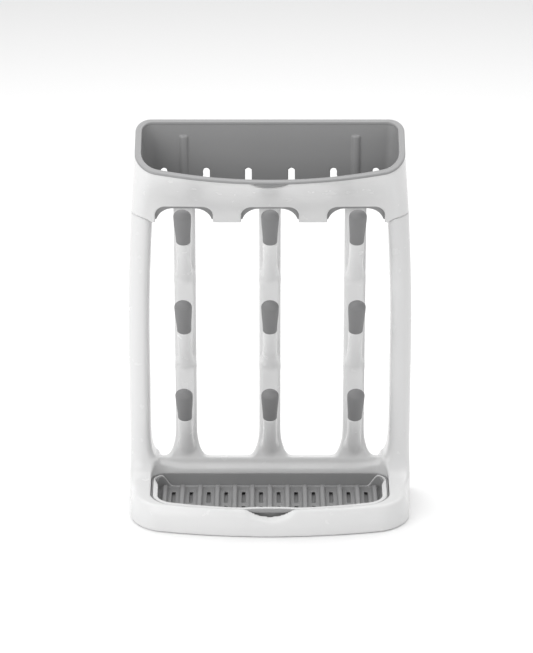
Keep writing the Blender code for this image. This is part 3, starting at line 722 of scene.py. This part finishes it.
# ---------------------------------------------------------------- making
def make_pieces():
    solid(
        "stand_moulding", stand_distance, (-122.5, -56.5, -1.0), (122.5, 56.5, 267.0), 1.15, WHITE,
        "stand", ["base_shell", "rack_frame", *(f"peg_column_{name}" for name in COLUMNS)],
    )
    solid(
        "bin_shell_moulding", shell_distance, (-120.5, -17.0, 248.0), (120.5, 57.0, 334.0), 0.95,
        WHITE, "stand", ["top_shell"],
    )
    # the grey wall behind the arches is painted shade: a dark sheet standing for the shadowed recess
    # behind the apron
    solid(
        "painted_shade_lining", painted_shade_lining_distance, (-104.0, 16.0, 250.0), (104.0, 40.0, 268.0), 0.8,
        GREY, "stand", [],
    )
    solid(
        "bin_liner_moulding", liner_distance, (-114.0, -17.0, 268.0), (114.0, 54.0, 335.0), 0.8,
        GREY, "bin_liner", ["bin_liner"],
    )
    solid(
        "drip_tray_moulding", tray_distance, (-103.0, -48.5, 4.0), (103.0, 34.5, 23.0), 0.62,
        GREY, "drip_tray", ["drip_tray"],
    )
    solid(
        "drain_ring_moulding", ring_distance, (-100.5, -46.0, 7.0), (100.5, 31.5, 22.0), 0.62,
        WHITE, "drain_rack", ["drain_frame"],
    )
    solid(
        "drain_grate_moulding", grate_distance, (-100.0, -44.0, 7.0), (100.0, 31.5, 22.0), 0.7,
        GREY, "drain_rack", ["drain_grate"],
    )


def make_feet():
    for node, box in ((name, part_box(name)) for name in frame["nodes"] if name.startswith("foot_")):
        points, quads = surface_mesh(foot_distance, (-7.0, -7.0, -1.0), (7.0, 7.0, 3.0), 0.35)
        middle = (np.array(box[0]) + np.array(box[1])) / 2 / MM
        place = np.array((middle[0], middle[1], 0.0))
        new_piece(node + "_pad", points + place, quads, FOOT, "stand", [node])


def finish_screws():
    for name in frame["nodes"]:
        if "screw" in name:
            for slot in frame["nodes"][name].material_slots:
                slot.material = STEEL


def cap_points(count_round=48):
    """A soft cap in its own frame: rings along the peg from the mouth to the apex."""
    dome = 7.6
    shoulder = PEG_LENGTH - dome
    stations = [(CAP_START + 0.5, 0.0, -0.5), (CAP_START, 0.0, -0.35), (CAP_START + 0.1, 0.0, -0.1)]
    for share in np.linspace(0.0, 1.0, 24):
        along = CAP_START + 0.5 + (shoulder - CAP_START - 0.5) * share
        stations.append((along, share * share * (3 - 2 * share), 0.0))
    turns = np.linspace(0, math.tau, count_round, endpoint=False)

    def ring_at(along, halves):
        half_u, half_v = halves
        return np.stack((half_u * np.cos(turns), half_v * np.sin(turns), np.full(count_round, along)), 1)

    rings = []
    for along, grow, less in stations:
        rings.append(ring_at(along, [a + (b - a) * grow + less for a, b in zip(SHAFT_HALF, BULB_HALF)]))
    for angle in np.radians(np.linspace(6, 88, 14)):
        halves = [value * math.cos(angle) for value in BULB_HALF]
        rings.append(ring_at(shoulder + dome * math.sin(angle), halves))
    points = np.concatenate(rings)
    here = np.arange(count_round)
    after = (here + 1) % count_round
    faces = []
    for ring in range(len(rings) - 1):
        start, end = ring * count_round, (ring + 1) * count_round
        faces.append(np.stack((start + here, start + after, end + after, end + here), 1))
    # flat ends: strips of quads across the first and the last ring
    strip = np.arange(count_round // 2 - 1)
    across = np.stack((strip, strip + 1, count_round - 2 - strip, count_round - 1 - strip), 1)
    faces.append(across[:, ::-1])
    faces.append(across + (len(rings) - 1) * count_round)
    return points, np.concatenate(faces)


def make_rim():
    points, faces = rim_bead()
    new_piece("bin_liner_rim", points, faces, GREY, "bin_liner", ["bin_liner"])


def make_caps():
    points, faces = cap_points()
    spin = np.array((
        (1, 0, 0),
        (0, math.cos(PEG_TILT), -math.sin(PEG_TILT)),
        (0, math.sin(PEG_TILT), math.cos(PEG_TILT)),
    ))
    turned = points @ spin.T
    for name, x in COLUMNS.items():
        for row, root in ROWS.items():
            node = f"peg_tip_{name}_{row}"
            place = np.array((x, UPRIGHT_Y, root))
            new_piece(f"cap_{name}_{row}", turned + place, faces, SOFT, "stand", [node])


# ---------------------------------------------------------------- studio
def camera():
    pitch = math.radians(20.4)
    distance = 2.44
    target = Vector((-0.0029, UPRIGHT_Y * MM, 0.1548))
    data = bpy.data.cameras.new("camera")
    data.lens = 158.6
    data.sensor_width = 36
    data.clip_end = 50
    made = bpy.data.objects.new("camera", data)
    made.location = target + Vector((0, -math.cos(pitch), math.sin(pitch))) * distance
    made.rotation_euler = (math.pi / 2 - pitch, 0, 0)
    bpy.context.scene.collection.objects.link(made)
    bpy.context.scene.camera = made


def floor():
    mesh = bpy.data.meshes.new("floor")
    mesh.from_pydata([(-6, -6, 0), (6, -6, 0), (6, 6, 0), (-6, 6, 0)], [], [(0, 1, 2, 3)])
    made = bpy.data.objects.new("floor", mesh)
    paint = bpy.data.materials.new("pale_floor")
    paint.use_nodes = True
    shader = paint.node_tree.nodes["Principled BSDF"]
    shader.inputs["Base Color"].default_value = (0.86, 0.86, 0.86, 1)
    shader.inputs["Roughness"].default_value = 0.7
    shader.inputs["Specular IOR Level"].default_value = 0.1
    mesh.materials.append(paint)
    bpy.context.scene.collection.objects.link(made)


def area_light(name, place, target, size, power):
    data = bpy.data.lights.new(name, "AREA")
    data.shape = "RECTANGLE"
    data.size, data.size_y = size
    data.energy = power
    made = bpy.data.objects.new(name, data)
    made.location = place
    aim = Vector(target) - Vector(place)
    made.rotation_euler = aim.to_track_quat("-Z", "Y").to_euler()
    bpy.context.scene.collection.objects.link(made)


def world(strength):
    made = bpy.data.worlds.new("studio")
    made.use_nodes = True
    background = made.node_tree.nodes["Background"]
    background.inputs["Color"].default_value = (1, 1, 1, 1)
    background.inputs["Strength"].default_value = strength
    bpy.context.scene.world = made


camera()
floor()
world(0.74)
area_light("key", (-0.85, -0.85, 0.75), (0, 0, 0.15), (1.1, 1.1), 7.0)
area_light("overhead", (0.0, 0.50, 1.50), (0, 0, 0.10), (2.4, 1.6), 22.0)
make_pieces()
make_rim()
make_caps()
make_feet()
finish_screws()
bpy.context.scene.view_settings.view_transform = "Standard"
